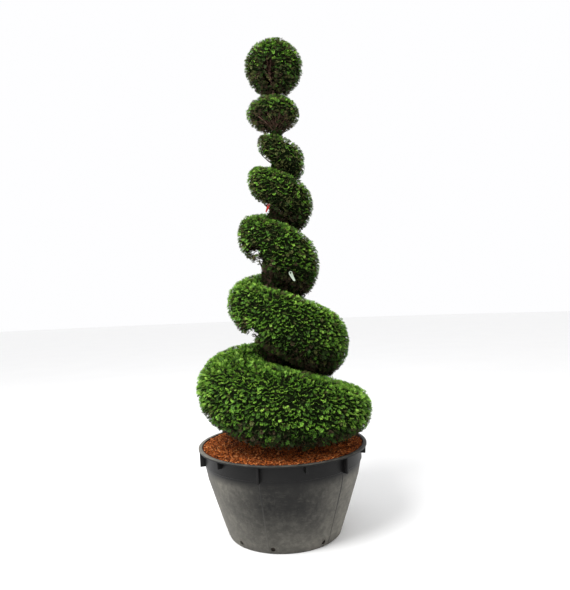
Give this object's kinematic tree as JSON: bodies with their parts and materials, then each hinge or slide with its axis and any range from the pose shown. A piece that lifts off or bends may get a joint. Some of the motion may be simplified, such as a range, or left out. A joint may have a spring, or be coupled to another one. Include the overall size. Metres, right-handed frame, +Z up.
{
  "type": "spiral topiary in a nursery tub",
  "caption": "Tall evergreen clipped as a climbing spiral with balls on top, planted in a wide round nursery tub filled with bark mulch.",
  "frame": {"origin": "middle of the tub's flat underside, on the surface that the plant stands on", "axes": "+Z up along the plant, the side that the picture shows looks along -Y, +X to the right of that view"},
  "size_m": [1.2713, 1.2582, 3.7316],
  "materials": {
    "tub": "moulded charcoal-black polyethylene, clean under the lip, scuffed and dusty grey on the cone",
    "roots": "dark, moist root ball of peat, bark and fine roots, out of sight in the tub",
    "bark_mulch": "fine red-brown bark chips and fibres, loose and matt",
    "bark": "scaly pinkish-brown bark with shallow flakes and furrows",
    "foliage": "short flat evergreen needles in clipped sprays, yellow-green on top and very dark beneath",
    "white_label": "thin blank white plastic loop label",
    "red_label": "thin blank red plastic loop label"
  },
  "bodies": {
    "root": {"tub": "tub", "root_ball": "roots", "mulch_bed": "bark_mulch", "trunk": "bark", "bough_1_front": "bark", "bough_1_back": "bark", "bough_2_front": "bark", "bough_2_back": "bark", "bough_3_front": "bark", "bough_3_back": "bark", "bough_4_front": "bark", "bough_4_back": "bark", "bough_5_front": "bark", "ball_lower_limb_1": "bark", "ball_lower_limb_2": "bark", "ball_lower_limb_3": "bark", "ball_top_limb_1": "bark", "ball_top_limb_2": "bark", "spiral_start": "foliage", "spiral_1_front": "foliage", "spiral_1_back": "foliage", "spiral_2_front": "foliage", "spiral_2_back": "foliage", "spiral_3_front": "foliage", "spiral_3_back": "foliage", "spiral_4_front": "foliage", "spiral_4_back": "foliage", "spiral_5_front": "foliage", "ball_lower": "foliage", "ball_top": "foliage", "white_label": "white_label", "red_label": "red_label"}
  },
  "joints": []
}
